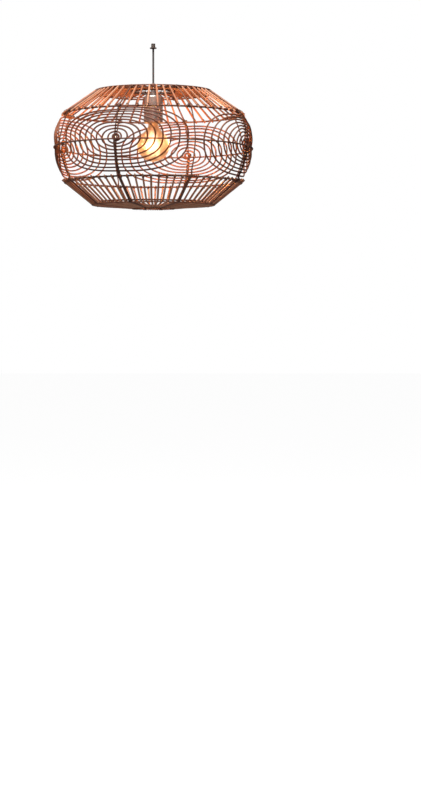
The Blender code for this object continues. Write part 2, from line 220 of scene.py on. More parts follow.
def newGroup(name, inputs, outputs):
    group = bpy.data.node_groups.new(name, "ShaderNodeTree")
    for label, kind, value in inputs:
        made = group.interface.new_socket(name=label, in_out="INPUT", socket_type=kind)
        if value is not None:
            made.default_value = value
    for label, kind in outputs:
        group.interface.new_socket(name=label, in_out="OUTPUT", socket_type=kind)
    return group, group.nodes.new("NodeGroupInput"), group.nodes.new("NodeGroupOutput")


def mathNode(tree, operation, first, second=None, third=None):
    node = tree.nodes.new("ShaderNodeMath")
    node.operation = operation
    for slotNumber, value in enumerate((first, second, third)):
        if value is None:
            continue
        if isinstance(value, (int, float)):
            node.inputs[slotNumber].default_value = value
        else:
            tree.links.new(value, node.inputs[slotNumber])
    return node.outputs[0]


def noiseNode(tree, vector, scale, detail=2.0, roughness=0.5):
    node = tree.nodes.new("ShaderNodeTexNoise")
    node.inputs["Scale"].default_value = scale
    node.inputs["Detail"].default_value = detail
    node.inputs["Roughness"].default_value = roughness
    tree.links.new(vector, node.inputs["Vector"])
    return node.outputs["Fac"]


def mixColour(tree, factor, first, second):
    node = tree.nodes.new("ShaderNodeMix")
    node.data_type = "RGBA"
    for socket, value in ((node.inputs[0], factor), (node.inputs[6], first), (node.inputs[7], second)):
        if isinstance(value, (int, float)):
            socket.default_value = value
        elif isinstance(value, tuple):
            socket.default_value = (*value, 1.0)
        else:
            tree.links.new(value, socket)
    return node.outputs[2]


def rangeNode(tree, value, low, high, outLow=0.0, outHigh=1.0):
    node = tree.nodes.new("ShaderNodeMapRange")
    tree.links.new(value, node.inputs["Value"])
    node.inputs["From Min"].default_value = low
    node.inputs["From Max"].default_value = high
    node.inputs["To Min"].default_value = outLow
    node.inputs["To Max"].default_value = outHigh
    return node.outputs[0]


def makeFibreGroup(settings):
    # long fibres and stain patches that follow a cane: u runs round it, v is metres along it
    group, source, result = newGroup(
        "caneFibre",
        [("Strand", "NodeSocketVector", None), ("Tone", "NodeSocketFloat", 0.5),
         ("Fibres", "NodeSocketFloat", 3.0), ("Patches", "NodeSocketFloat", 14.0)],
        [("Fibre", "NodeSocketFloat"), ("Patch", "NodeSocketFloat"), ("Height", "NodeSocketFloat")])
    split = group.nodes.new("ShaderNodeSeparateXYZ")
    group.links.new(source.outputs["Strand"], split.inputs[0])
    turn = mathNode(group, "MULTIPLY", split.outputs[0], 2 * math.pi)
    shift = mathNode(group, "MULTIPLY", source.outputs["Tone"], settings["toneShift"])
    ringX = mathNode(group, "MULTIPLY", mathNode(group, "COSINE", turn), source.outputs["Fibres"])
    ringY = mathNode(group, "MULTIPLY", mathNode(group, "SINE", turn), source.outputs["Fibres"])
    along = mathNode(group, "MULTIPLY_ADD", split.outputs[1], settings["perMetre"], shift)
    fibreSpot = group.nodes.new("ShaderNodeCombineXYZ")
    for socket, value in zip(fibreSpot.inputs, (ringX, ringY, along)):
        group.links.new(value, socket)
    fibre = noiseNode(group, fibreSpot.outputs[0], settings["scale"], 4.0, settings["roughness"])
    patchAlong = mathNode(group, "MULTIPLY_ADD", split.outputs[1], source.outputs["Patches"], shift)
    patchSpot = group.nodes.new("ShaderNodeCombineXYZ")
    group.links.new(patchAlong, patchSpot.inputs[0])
    group.links.new(shift, patchSpot.inputs[1])
    patch = noiseNode(group, patchSpot.outputs[0], 1.0, 2.0)
    group.links.new(rangeNode(group, fibre, *settings["fibreBand"]), result.inputs["Fibre"])
    group.links.new(rangeNode(group, patch, *settings["patchBand"]), result.inputs["Patch"])
    group.links.new(fibre, result.inputs["Height"])
    return group


def makeWearGroup(settings):
    # rubbed edges and uneven handling marks, from the shape's own corners and a soft noise
    group, source, result = newGroup(
        "edgeWear",
        [("Place", "NodeSocketVector", None), ("Scale", "NodeSocketFloat", 90.0),
         ("Amount", "NodeSocketFloat", 0.5)],
        [("Wear", "NodeSocketFloat"), ("Smudge", "NodeSocketFloat"), ("Grain", "NodeSocketFloat")])
    geometry = group.nodes.new("ShaderNodeNewGeometry")
    corner = rangeNode(group, geometry.outputs["Pointiness"], *settings["cornerBand"])
    noise = group.nodes.new("ShaderNodeTexNoise")
    noise.inputs["Detail"].default_value = 5.0
    group.links.new(source.outputs["Place"], noise.inputs["Vector"])
    group.links.new(source.outputs["Scale"], noise.inputs["Scale"])
    rubbed = mathNode(group, "MULTIPLY", corner, rangeNode(group, noise.outputs["Fac"], *settings["rubBand"]))
    group.links.new(mathNode(group, "MULTIPLY", rubbed, source.outputs["Amount"]), result.inputs["Wear"])
    group.links.new(rangeNode(group, noise.outputs["Fac"], *settings["smudgeBand"]), result.inputs["Smudge"])
    fine = noiseNode(group, source.outputs["Place"], settings["grainScale"], 2.0)
    group.links.new(fine, result.inputs["Grain"])
    return group


fibreGroup = makeFibreGroup({
    "toneShift": 37.0, "perMetre": 26.0, "scale": 1.6, "roughness": 0.62, "fibreBand": (0.32, 0.68),
    "patchBand": (0.35, 0.65)})
wearGroup = makeWearGroup({
    "cornerBand": (0.51, 0.60), "rubBand": (0.35, 0.60), "smudgeBand": (0.30, 0.70), "grainScale": 1400.0})
print("shader groups made")


def newMaterial(name):
    made = bpy.data.materials.new(name)
    made.use_nodes = True
    return made, made.node_tree, made.node_tree.nodes["Principled BSDF"]


def letThrough(tree, shader, factor, colour=(1.0, 1.0, 1.0)):
    # where the factor is 1, light goes straight through
    clear = tree.nodes.new("ShaderNodeBsdfTransparent")
    clear.inputs[0].default_value = (*colour, 1.0)
    mix = tree.nodes.new("ShaderNodeMixShader")
    tree.links.new(factor, mix.inputs[0])
    tree.links.new(shader.outputs[0], mix.inputs[1])
    tree.links.new(clear.outputs[0], mix.inputs[2])
    tree.links.new(mix.outputs[0], tree.nodes["Material Output"].inputs["Surface"])


def addBump(tree, shader, height, strength, distance):
    bump = tree.nodes.new("ShaderNodeBump")
    bump.inputs["Strength"].default_value = strength
    bump.inputs["Distance"].default_value = distance
    tree.links.new(height, bump.inputs["Height"])
    tree.links.new(bump.outputs[0], shader.inputs["Normal"])


def caneMaterial(name, settings):
    made, tree, shader = newMaterial(name)
    strand = tree.nodes.new("ShaderNodeUVMap")
    strand.uv_map = "UVMap"
    tone = tree.nodes.new("ShaderNodeAttribute")
    tone.attribute_name = "tone"
    fibre = tree.nodes.new("ShaderNodeGroup")
    fibre.node_tree = fibreGroup
    fibre.inputs["Fibres"].default_value = settings["fibres"]
    fibre.inputs["Patches"].default_value = settings["patches"]
    tree.links.new(strand.outputs[0], fibre.inputs["Strand"])
    tree.links.new(tone.outputs["Fac"], fibre.inputs["Tone"])
    body = mixColour(tree, tone.outputs["Fac"], settings["dark"], settings["light"])
    patched = mixColour(tree, mathNode(tree, "MULTIPLY", fibre.outputs["Patch"], settings["patchShare"]),
                        body, settings["stain"])
    grained = mixColour(tree, mathNode(tree, "MULTIPLY", fibre.outputs["Fibre"], settings["fibreShare"]),
                        patched, settings["pore"])
    tree.links.new(grained, shader.inputs["Base Color"])
    tree.links.new(rangeNode(tree, fibre.outputs["Fibre"], 0.0, 1.0, settings["gloss"], settings["matt"]),
                   shader.inputs["Roughness"])
    shader.inputs["Coat Weight"].default_value = settings["varnish"]
    shader.inputs["Coat Roughness"].default_value = 0.35
    shader.inputs["Specular IOR Level"].default_value = 0.3  # dry cane shines less than plastic
    addBump(tree, shader, fibre.outputs["Height"], strength=0.5, distance=0.0003)
    return made


def plainMaterial(name, settings):
    # moulded, turned or plated pieces: colour with wear, smudges in the gloss, a fine grain
    made, tree, shader = newMaterial(name)
    spot = tree.nodes.new("ShaderNodeTexCoord")
    wear = tree.nodes.new("ShaderNodeGroup")
    wear.node_tree = wearGroup
    wear.inputs["Scale"].default_value = settings["scale"]
    wear.inputs["Amount"].default_value = settings["wear"]
    tree.links.new(spot.outputs["Object"], wear.inputs["Place"])
    shaded = mixColour(tree, wear.outputs["Smudge"], settings["colour"], settings["shade"])
    worn = mixColour(tree, wear.outputs["Wear"], shaded, settings["worn"])
    tree.links.new(worn, shader.inputs["Base Color"])
    tree.links.new(rangeNode(tree, wear.outputs["Smudge"], 0.0, 1.0, settings["gloss"], settings["matt"]),
                   shader.inputs["Roughness"])
    shader.inputs["Metallic"].default_value = settings.get("metal", 0.0)
    addBump(tree, shader, wear.outputs["Grain"], strength=settings["grain"], distance=0.0001)
    return made


def glassMaterial(name, settings):
    made, tree, shader = newMaterial(name)
    spot = tree.nodes.new("ShaderNodeTexCoord")
    cloud = noiseNode(tree, spot.outputs["Object"], settings["cloudScale"], 3.0)
    tree.links.new(mixColour(tree, cloud, settings["pale"], settings["deep"]), shader.inputs["Base Color"])
    tree.links.new(rangeNode(tree, cloud, 0.3, 0.7, settings["gloss"], settings["matt"]),
                   shader.inputs["Roughness"])
    shader.inputs["Transmission Weight"].default_value = 1.0
    shader.inputs["IOR"].default_value = 1.46
    shader.inputs["Emission Color"].default_value = (*settings["glow"], 1.0)
    shader.inputs["Emission Strength"].default_value = settings["glowStrength"]
    addBump(tree, shader, cloud, strength=0.08, distance=0.0008)
    # light from the filament passes straight out through the wall
    path = tree.nodes.new("ShaderNodeLightPath")
    letThrough(tree, shader, path.outputs["Is Shadow Ray"], settings["through"])
    return made


def filamentMaterial(name, settings):
    made, tree, shader = newMaterial(name)
    spot = tree.nodes.new("ShaderNodeTexCoord")
    heat = rangeNode(tree, noiseNode(tree, spot.outputs["Object"], settings["patchScale"]), 0.35, 0.65)
    tree.links.new(mixColour(tree, heat, settings["cool"], settings["hot"]), shader.inputs["Emission Color"])
    shader.inputs["Emission Strength"].default_value = settings["strength"]
    shader.inputs["Base Color"].default_value = (*settings["wire"], 1.0)
    shader.inputs["Roughness"].default_value = 0.5
    return made


canePeel = caneMaterial("canePeel", {
    "dark": (0.440, 0.150, 0.068), "light": (0.740, 0.390, 0.235), "stain": (0.300, 0.092, 0.042),
    "pore": (0.200, 0.068, 0.034), "patchShare": 0.40, "fibreShare": 0.35, "fibres": 3.0, "patches": 14.0,
    "gloss": 0.45, "matt": 0.68, "varnish": 0.08})
coilCane = caneMaterial("coilCane", {
    "dark": (0.230, 0.072, 0.034), "light": (0.410, 0.160, 0.080), "stain": (0.130, 0.046, 0.026),
    "pore": (0.075, 0.034, 0.024), "patchShare": 0.40, "fibreShare": 0.40, "fibres": 3.0, "patches": 10.0,
    "gloss": 0.40, "matt": 0.65, "varnish": 0.05})
frameCane = caneMaterial("frameCane", {
    "dark": (0.170, 0.058, 0.032), "light": (0.290, 0.112, 0.062), "stain": (0.080, 0.032, 0.022),
    "pore": (0.055, 0.025, 0.018), "patchShare": 0.40, "fibreShare": 0.45, "fibres": 4.0, "patches": 9.0,
    "gloss": 0.42, "matt": 0.66, "varnish": 0.05})
lashingPeel = caneMaterial("lashingPeel", {
    "dark": (0.110, 0.042, 0.026), "light": (0.300, 0.140, 0.085), "stain": (0.080, 0.030, 0.020),
    "pore": (0.050, 0.022, 0.016), "patchShare": 0.30, "fibreShare": 0.40, "fibres": 1.5, "patches": 40.0,
    "gloss": 0.35, "matt": 0.60, "varnish": 0.15})
platedCup = plainMaterial("platedCup", {
    "colour": (0.86, 0.74, 0.66), "shade": (0.70, 0.58, 0.50), "worn": (0.72, 0.60, 0.42),
    "gloss": 0.22, "matt": 0.34, "metal": 0.80, "scale": 45.0, "wear": 0.35, "grain": 0.05})
greyTube = plainMaterial("greyTube", {
    "colour": (0.46, 0.39, 0.36), "shade": (0.38, 0.31, 0.28), "worn": (0.66, 0.60, 0.56),
    "gloss": 0.34, "matt": 0.48, "metal": 0.7, "scale": 120.0, "wear": 0.6, "grain": 0.10})
zincStrip = plainMaterial("zincStrip", {
    "colour": (0.26, 0.25, 0.25), "shade": (0.16, 0.15, 0.15), "worn": (0.42, 0.41, 0.40),
    "gloss": 0.30, "matt": 0.50, "metal": 0.6, "scale": 160.0, "wear": 0.5, "grain": 0.15})
turnedBrass = plainMaterial("turnedBrass", {
    "colour": (0.78, 0.58, 0.28), "shade": (0.52, 0.36, 0.17), "worn": (0.90, 0.74, 0.42),
    "gloss": 0.22, "matt": 0.45, "metal": 1.0, "scale": 150.0, "wear": 0.6, "grain": 0.08})
darkMoulding = plainMaterial("darkMoulding", {
    "colour": (0.045, 0.030, 0.024), "shade": (0.075, 0.048, 0.036), "worn": (0.16, 0.12, 0.10),
    "gloss": 0.28, "matt": 0.45, "scale": 70.0, "wear": 0.5, "grain": 0.12})
glazedClay = plainMaterial("glazedClay", {
    "colour": (0.84, 0.81, 0.75), "shade": (0.76, 0.72, 0.64), "worn": (0.62, 0.54, 0.44),
    "gloss": 0.12, "matt": 0.25, "scale": 60.0, "wear": 0.5, "grain": 0.05})
cordSheath = plainMaterial("cordSheath", {
    "colour": (0.135, 0.125, 0.120), "shade": (0.090, 0.082, 0.080), "worn": (0.22, 0.20, 0.19),
    "gloss": 0.42, "matt": 0.60, "scale": 200.0, "wear": 0.3, "grain": 0.35})
redSleeve = plainMaterial("redSleeve", {
    "colour": (0.330, 0.105, 0.070), "shade": (0.210, 0.065, 0.045), "worn": (0.45, 0.20, 0.14),
    "gloss": 0.40, "matt": 0.58, "scale": 180.0, "wear": 0.5, "grain": 0.25})
amberGlass = glassMaterial("amberGlass", {
    "pale": (0.640, 0.430, 0.280), "deep": (0.570, 0.350, 0.215), "cloudScale": 16.0, "gloss": 0.28,
    "matt": 0.36, "glow": (1.0, 0.55, 0.28), "glowStrength": 0.02, "through": (1.0, 0.80, 0.55)})
clearGlass = glassMaterial("clearGlass", {
    "pale": (0.98, 0.95, 0.90), "deep": (0.95, 0.90, 0.82), "cloudScale": 40.0, "gloss": 0.01,
    "matt": 0.04, "glow": (1.0, 0.60, 0.30), "glowStrength": 0.05, "through": (1.0, 0.95, 0.88)})
glowingWire = filamentMaterial("glowingWire", {
    "hot": (1.0, 0.90, 0.76), "cool": (1.0, 0.78, 0.55), "wire": (0.3, 0.2, 0.1), "strength": 11.0,
    "patchScale": 60.0})
print("materials made")


def makeCord(settings):
    low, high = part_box("drop_cord")
    steps = settings["steps"]
    route = [Vector((0, 0, low.z + (high.z - low.z) * step / steps)) for step in range(steps + 1)]
    bm = bmesh.new()
    addStrand(bm, route, settings["radius"], 0.5, sides=16)
    cord = finishPiece("hangingCord", bm, cordSheath, "cord", ["drop_cord"])
    return cord, route


def makeBush():
    # flanged, with a rounded rim and a flared mouth for the cord
    outline = [(0.0, 0.0100), (0.0044, 0.0100), (0.0050, 0.0092), (0.0050, 0.0078), (0.0046, 0.0072),
               (0.0050, 0.0066), (0.0050, 0.0), (0.0085, 0.0), (0.0085, -0.0016), (0.0078, -0.0025),
               (0.0052, -0.0025), (0.0042, -0.0014), (0.0034, 0.0005), (0.0034, 0.0032), (0.0, 0.0032)]
    raised = [(radius, height - holderTop) for radius, height in outline]
    return turnedPiece("armBush", raised, darkMoulding, "bush", ["arm_bush"], rounding=0.0002)


cordSize = {"radius": 0.0024, "steps": 24}
cord, cordRoute = makeCord(cordSize)
bush = makeBush()
print("cord made")


laidCane = {"flatSteps": 9, "bendSteps": 4, "slopeSteps": 8}


def overHoops(hoops, offset, startRun, endRun, side):
    # (radius, height) points of a cane laid over three hoops, bending round the middle one
    inner, bend, outer = hoops
    first = (bend - inner).normalized()
    second = (outer - bend).normalized()
    firstOut = Vector((-first.y, first.x)) * side
    secondOut = Vector((-second.y, second.x)) * side
    line = []
    start = inner + firstOut * offset - first * startRun
    for step in range(laidCane["flatSteps"]):
        line.append(start.lerp(bend + firstOut * offset, step / laidCane["flatSteps"]))
    for step in range(laidCane["bendSteps"] + 1):
        line.append(bend + firstOut.slerp(secondOut, step / laidCane["bendSteps"]) * offset)
    finish = outer + secondOut * offset + second * endRun
    for step in range(1, laidCane["slopeSteps"] + 1):
        line.append((bend + secondOut * offset).lerp(finish, step / laidCane["slopeSteps"]))
    return line


def wander(line, azimuth, settings):
    # wraps the points round the cage; a hand-laid cane sways round it, and bows out between its ends
    phase, pace = anyPhase(), random.uniform(*settings["pace"])
    points = []
    for i, (radius, height) in enumerate(line):
        share = i / (len(line) - 1)
        sway = settings["sway"] * math.sin(phase + pace * 3.1 * share)
        lift = settings["bow"] * math.sin(phase * 1.7 + pace * 4.7 * share) * math.sin(math.pi * share)
        points.append(place(radius + lift, azimuth + sway, height + lift * 0.5))
    return points


def makeBay(name, hoops, azimuth, canes, settings):
    bm = bmesh.new()
    step = 2 * math.pi / (cage["bays"] * (canes + 1))
    for number in range(1, canes + 1):
        overhang = cage["lipRun"] + random.uniform(-settings["lipRagged"], settings["lipRagged"])
        start = settings["startRun"] + random.uniform(*settings["startRagged"])
        line = overHoops(hoops, settings["offset"], start, overhang, settings["side"])
        points = wander(line, azimuth + number * step, settings)
        radius = settings["radius"] * random.uniform(*settings["gauge"])
        radii = [radius * (1 + settings["knobble"] * math.sin(3.7 * i + number)) for i in range(len(points))]
        addStrand(bm, points, radii, random.random(), sides=10, taper=0.25)
    return finishPiece(name + "Canes", bm, canePeel, "shade", [name])


bayLook = {"offset": 0.0036, "startRun": 0.0022, "startRagged": (-0.0008, 0.0006), "lipRagged": 0.0016,
           "sway": 0.0025, "bow": 0.0006, "pace": (1.2, 2.6), "radius": 0.00245, "gauge": (0.90, 1.08),
           "knobble": 0.04}
upperHoops, lowerHoops = (topHoop, crownHoop, shoulderHoop), (mouthHoop, baseHoop, lowShoulderHoop)
for bay in range(cage["bays"]):
    makeBay(f"upper_canes_{bay + 1}", upperHoops, ribAzimuth(bay) + cage["upperShift"], cage["upperCanes"],
            {**bayLook, "side": 1})
    makeBay(f"lower_canes_{bay + 1}", lowerHoops, ribAzimuth(bay), cage["lowerCanes"],
            {**bayLook, "side": -1})
print("straight canes made")


hoopLook = {"leastSides": 48, "sideLength": 0.009, "wobble": 0.0003, "equatorWobble": 0.0001}


def makeHoop(node, centre, radius, wobble):
    bm = bmesh.new()
    count = max(hoopLook["leastSides"], int(centre.x * 2 * math.pi / hoopLook["sideLength"]))
    phase = anyPhase()
    points = []
    for i in range(count):
        azimuth = 2 * math.pi * i / count
        height = centre.y + wobble * math.sin(3 * azimuth + 2 * phase)
        if centre is equatorHoop:
            height += equatorSag(azimuth)
        points.append(place(centre.x + wobble * math.sin(5 * azimuth + phase), azimuth, height))
    addStrand(bm, points, radius, random.random(), closed=True, sides=10)
    return finishPiece(node + "Hoop", bm, frameCane, "shade", [node])


for node, centre in (
        ("top_ring", topHoop), ("crown_ring", crownHoop), ("upper_shoulder_ring", shoulderHoop),
        ("lower_shoulder_ring", lowShoulderHoop), ("base_ring", baseHoop), ("mouth_ring", mouthHoop)):
    makeHoop(node, centre, cage["hoopBar"], hoopLook["wobble"])
makeHoop("equator_ring", equatorHoop, cage["equatorBar"], hoopLook["equatorWobble"])


def ribLine(settings, sag=0.0):
    # over the hoops on the cones, outside the coils on the band, humped over the equator hoop
    onHoops, onBand = settings["onHoops"], settings["onBand"]
    crown = overHoops(upperHoops, onHoops, settings["startRun"], 0.0, 1)
    floor = overHoops(lowerHoops, onHoops, settings["startRun"], 0.0, -1)
    upSlope = (crown[-1] - crown[-2]).normalized()
    downSlope = (floor[-1] - floor[-2]).normalized()
    clear, past = onHoops + settings["cornerLift"], settings["cornerRun"]
    line = crown[::2]
    line.append(shoulderHoop + Vector((-upSlope.y, upSlope.x)) * clear + upSlope * past)
    top, bottom = shoulderHoop.y - settings["bandTop"], lowShoulderHoop.y + settings["bandFoot"]
    for step in range(settings["bandSteps"] + 1):
        height = top + (bottom - top) * step / settings["bandSteps"]
        hump = math.exp(-((height - equatorHoop.y - sag) / settings["humpLength"]) ** 2)
        line.append(bandPoint(height, onBand + settings["overEquator"] * hump))
    line.append(lowShoulderHoop + Vector((downSlope.y, -downSlope.x)) * clear + downSlope * past)
    return line + floor[::-2]


def fadeIn(distance, run):
    return min(1.0, max(0.0, distance / run))


def makeRib(number, settings):
    # one cane runs the whole way; a second lies beside it on the lower cone, and below the heart of an eye
    azimuth = ribAzimuth(number)
    around = sideways(azimuth)
    flat = smoothLine(ribLine(settings, equatorSag(azimuth)), 4)
    thinRun = settings["thinRun"]
    top, bottom = shoulderHoop.y - settings["thinTop"], lowShoulderHoop.y + thinRun
    lowEnd = equatorHoop.y - settings["underHeart"]
    if number % 2:
        lowEnd = lowShoulderHoop.y + settings["overShoulder"]
    lanes = {"whole": [], "floor": []}
    for radius, height in flat:
        onBand = fadeIn(top - height, thinRun) * fadeIn(height - bottom, thinRun)
        onFloor = 1.0 if height < bottom + thinRun else 0.0
        apart = settings["spread"] * onFloor * (1 - onBand)
        spot = place(radius, azimuth, height)
        sway = settings["sway"] * math.sin(settings["wavesPerMetre"] * height + number)
        lanes["whole"].append((spot + around * (apart + sway), onBand))
        if height < lowEnd:
            beside = around * (-settings["spread"] * (1 - onBand) - 2 * settings["thin"] * onBand + sway)
            lanes["floor"].append((spot + beside, onBand))
    bm = bmesh.new()
    for lane in lanes.values():
        radii = [settings["radius"] + (settings["thin"] - settings["radius"]) * share for _, share in lane]
        addStrand(bm, [spot for spot, _ in lane], radii, random.random(), sides=10, taper=0.3)
    return finishPiece(f"rib{number + 1}", bm, frameCane, "shade", [f"rib_{number + 1}"])


ribLook = {"onHoops": 0.0040, "onBand": 0.0034, "overEquator": 0.0038, "spread": 0.0019, "radius": 0.0019,
           "thin": 0.0015, "startRun": 0.0022, "cornerLift": 0.0016, "cornerRun": 0.0068, "bandTop": 0.0078,
           "bandFoot": 0.0090, "bandSteps": 12, "humpLength": 0.020, "thinTop": 0.006, "thinRun": 0.008,
           "underHeart": 0.004, "overShoulder": 0.003, "sway": 0.0004, "wavesPerMetre": 60}
for number in range(cage["bays"]):
    makeRib(number, ribLook)
print("hoops and ribs made")


eye = {"turns": 9.5, "heartTurns": 2.5, "perTurn": 72, "radius": 0.00200, "heartThin": 0.80,
       "halfWidth": math.radians(42.4) * bandRadius, "rise": 0.0715, "drop": 0.0845, "lift": 0.0045,
       "heartWidth": 0.0100, "heartRise": 0.0080, "heartDrop": 0.0085, "heartShrink": 0.62,
       "widthEarly": 0.80, "riseEarly": 1.20, "dropEarly": 0.88, "square": 0.7,
       "bulge": 0.0045, "bulgeWidth": 0.05, "ripple": 0.00072, "leastRipple": 0.00018, "rock": 0.0003,
       "knobble": 0.05}


def spread(size, inner, outer, early):
    # grows from inner to outer, faster at first when early is over 1
    return inner + (outer - inner) * (early * size - (early - 1) * size ** 2)


def squared(value, power):
    # pulls a sine or cosine towards its ends, which squares off a round
    return math.copysign(abs(value) ** power, value)


def eyePoint(size, turn):
    # (sideways, upward) on the band; size 1 is the outermost and squarest turn, and below 0 is the heart
    power = 2.0 / (2.0 + eye["square"] * max(size, 0.0))
    side, lift = squared(math.cos(turn), power), squared(math.sin(turn), power)
    if size < 0.0:
        shrink = 1 + eye["heartShrink"] * size * eye["turns"] / eye["heartTurns"]
        reach = eye["heartRise"] if lift > 0 else eye["heartDrop"]
        return Vector((eye["heartWidth"] * side, reach * lift)) * shrink
    reach = (spread(size, eye["heartRise"], eye["rise"], eye["riseEarly"]) if lift > 0
             else spread(size, eye["heartDrop"], eye["drop"], eye["dropEarly"]))
    return Vector((spread(size, eye["heartWidth"], eye["halfWidth"], eye["widthEarly"]) * side, reach * lift))


def onBand(flat, azimuth, offset=0.0):
    # the sag fades out towards the shoulders, where the coil meets the hoops
    reach = eye["rise"] if flat.y > 0 else eye["drop"]
    sag = equatorSag(azimuth) * max(0.0, 1 - (flat.y / reach) ** 2)
    swell = math.sin(math.pi * min(1.0, abs(flat.y) / reach)) * min(1.0, abs(flat.x) / eye["bulgeWidth"])
    swell *= eye["bulge"] if flat.y > 0 else 0.5 * eye["bulge"]
    radius, height = bandPoint(equatorHoop.y + eye["lift"] + flat.y + sag, offset + swell)
    return place(radius, azimuth + flat.x / bandRadius, height)


def makeEye(number):
    azimuth = eyeAzimuth(number)
    bm = bmesh.new()
    total = int(eye["turns"] * eye["perTurn"])
    heart = int(eye["heartTurns"] * eye["perTurn"])
    phase = anyPhase()
    points, radii = [], []
    for i in range(-heart, total + 1):
        turn = -math.pi / 2 + 2 * math.pi * i / eye["perTurn"]
        size = i / total
        ripple = eye["ripple"] * max(size, 0.0) + eye["leastRipple"]
        ripple *= math.sin(2.3 * turn + phase) + 0.6 * math.sin(5.1 * turn + 2 * phase)
        flat = eyePoint(size, turn)
        flat += flat.normalized() * ripple
        points.append(onBand(flat, azimuth, eye["rock"] * math.sin(3.3 * turn)))
        thickness = eye["radius"] * (eye["heartThin"] if size < 0 else 1.0)
        radii.append(thickness * (1 + eye["knobble"] * math.sin(0.37 * i + number)))
    addStrand(bm, points, radii, random.random(), sides=8, taper=0.3)
    return finishPiece(f"eyeCoil{number + 1}", bm, coilCane, "shade", [f"eye_coil_{number + 1}"])


for number in range(cage["eyes"]):
    makeEye(number)
print("eyes made")


def bandLayers(bm):
    uvLayer = bm.loops.layers.uv.get("UVMap") or bm.loops.layers.uv.new("UVMap")
    toneLayer = bm.verts.layers.float.get("tone") or bm.verts.layers.float.new("tone")
    return uvLayer, toneLayer


def addBand(bm, points, across, width, thickness, tone, closed=False):
    # a flat strip along the points; across is the direction of its width at each point
    uvLayer, toneLayer = bandLayers(bm)
    count = len(points)
    rows = []
    for i, point in enumerate(points):
        before = points[i - 1] if closed or i else point
        after = points[(i + 1) % count] if closed or i < count - 1 else point
        wide = across[i] if isinstance(across, list) else across
        up = (after - before).cross(wide).normalized() * (thickness / 2)
        half = wide.normalized() * (width / 2)
        row = [bm.verts.new(point + offset) for offset in (half + up, up - half, -half - up, half - up)]
        for vert in row:
            vert[toneLayer] = tone
        rows.append(row)
    along = 0.0
    for i in range(count if closed else count - 1):
        here, there = rows[i], rows[(i + 1) % count]
        step = (points[(i + 1) % count] - points[i]).length
        for side in range(4):
            after = (side + 1) % 4
            face = bm.faces.new((here[side], here[after], there[after], there[side]))
            spots = ((side, along), (side + 1, along), (side + 1, along + step), (side, along + step))
            for loop, (turn, distance) in zip(face.loops, spots):
                loop[uvLayer].uv = (turn / 4, distance)
        along += step
    if not closed:
        bm.faces.new(rows[0][::-1])
        bm.faces.new(rows[-1])


def addLashing(bm, centre, out, along, settings, tone):
    # two loops of peel crossed over a joint between two canes
    across = out.cross(along).normalized()
    corners = settings["corners"]
    for sign in (-1, 1):
        lean = math.radians(settings["lean"] + random.uniform(-7, 7)) * sign  # no two lean alike
        stretch = along * math.cos(lean) + across * math.sin(lean)
        wide = out.cross(stretch).normalized()
        points = []
        for corner in range(corners):
            turn = 2 * math.pi * (corner + 0.5) / corners
            span = squared(math.cos(turn), 0.8) * settings["halfSpan"]
            depth = squared(math.sin(turn), 0.8) * settings["halfDepth"]
            lift = settings["overlap"] if sign > 0 and depth > 0 else 0.0  # one loop over the other
            points.append(centre + stretch * span + out * (depth + lift))
        addBand(bm, points, wide, settings["width"], settings["thickness"], tone, closed=True)


def finishKnots(name, bm):
    return finishPiece(name, bm, lashingPeel, "shade", (), smooth=60.0)


def lashHoop(name, centre, tilt, count, first, settings):
    bm = bmesh.new()
    for number in range(count):
        azimuth = first + 2 * math.pi * number / count
        out = outward(azimuth, tilt)
        middle = place(centre.x, azimuth, centre.y) + out * settings["offset"]
        addLashing(bm, middle, out, sideways(azimuth).cross(out), settings, random.random())
    return finishKnots(name, bm)


knot = {"corners": 8, "lean": 42.0, "halfSpan": 0.0034, "halfDepth": 0.0044, "width": 0.0018,
        "thickness": 0.0005, "overlap": 0.0005, "offset": 0.0020}
upCount, downCount = cage["bays"] * (cage["upperCanes"] + 1), cage["bays"] * (cage["lowerCanes"] + 1)
upFirst, downFirst = cage["firstRib"] + cage["upperShift"], cage["firstRib"]
upTilt = math.atan2(shoulderHoop.x - crownHoop.x, crownHoop.y - shoulderHoop.y)
downTilt = -math.atan2(lowShoulderHoop.x - baseHoop.x, lowShoulderHoop.y - baseHoop.y)
crownTilt, baseTilt = (upTilt + math.pi / 2) / 2, (downTilt - math.pi / 2) / 2
smallKnot = {**knot, "corners": 6, "width": 0.0012, "halfSpan": 0.0026}
cornerKnot = {**knot, "width": 0.0013, "halfSpan": 0.0024, "halfDepth": 0.0040}
for name, centre, tilt, count, first, look in (
        ("topKnots", topHoop, math.pi / 2, upCount, upFirst, smallKnot),
        ("crownKnots", crownHoop, crownTilt, upCount, upFirst, cornerKnot),
        ("upperShoulderKnots", shoulderHoop, upTilt, upCount, upFirst, knot),
        ("lowerShoulderKnots", lowShoulderHoop, downTilt, downCount, downFirst, knot),
        ("baseKnots", baseHoop, baseTilt, downCount, downFirst, cornerKnot),
        ("mouthKnots", mouthHoop, -math.pi / 2, downCount, downFirst, smallKnot)):
    lashHoop(name, centre, tilt, count, first, look)


def addRunner(name, centre, tilt, settings):
    # a thin split cane laid along the bend of the canes, over the hoop that it is tied to
    bm = bmesh.new()
    points = []
    for i in range(settings["sides"]):
        azimuth = 2 * math.pi * i / settings["sides"]
        points.append(place(centre.x, azimuth, centre.y) + outward(azimuth, tilt) * settings["offset"])
    addStrand(bm, points, settings["radius"], settings["tone"], closed=True, sides=8)
    return finishPiece(name, bm, coilCane, "shade", ())


runner = {"offset": 0.0053, "radius": 0.0016, "sides": 160, "tone": 0.3}
addRunner("crownRunner", crownHoop, crownTilt, runner)
addRunner("baseRunner", baseHoop, baseTilt, runner)
print("hoop lashings made")


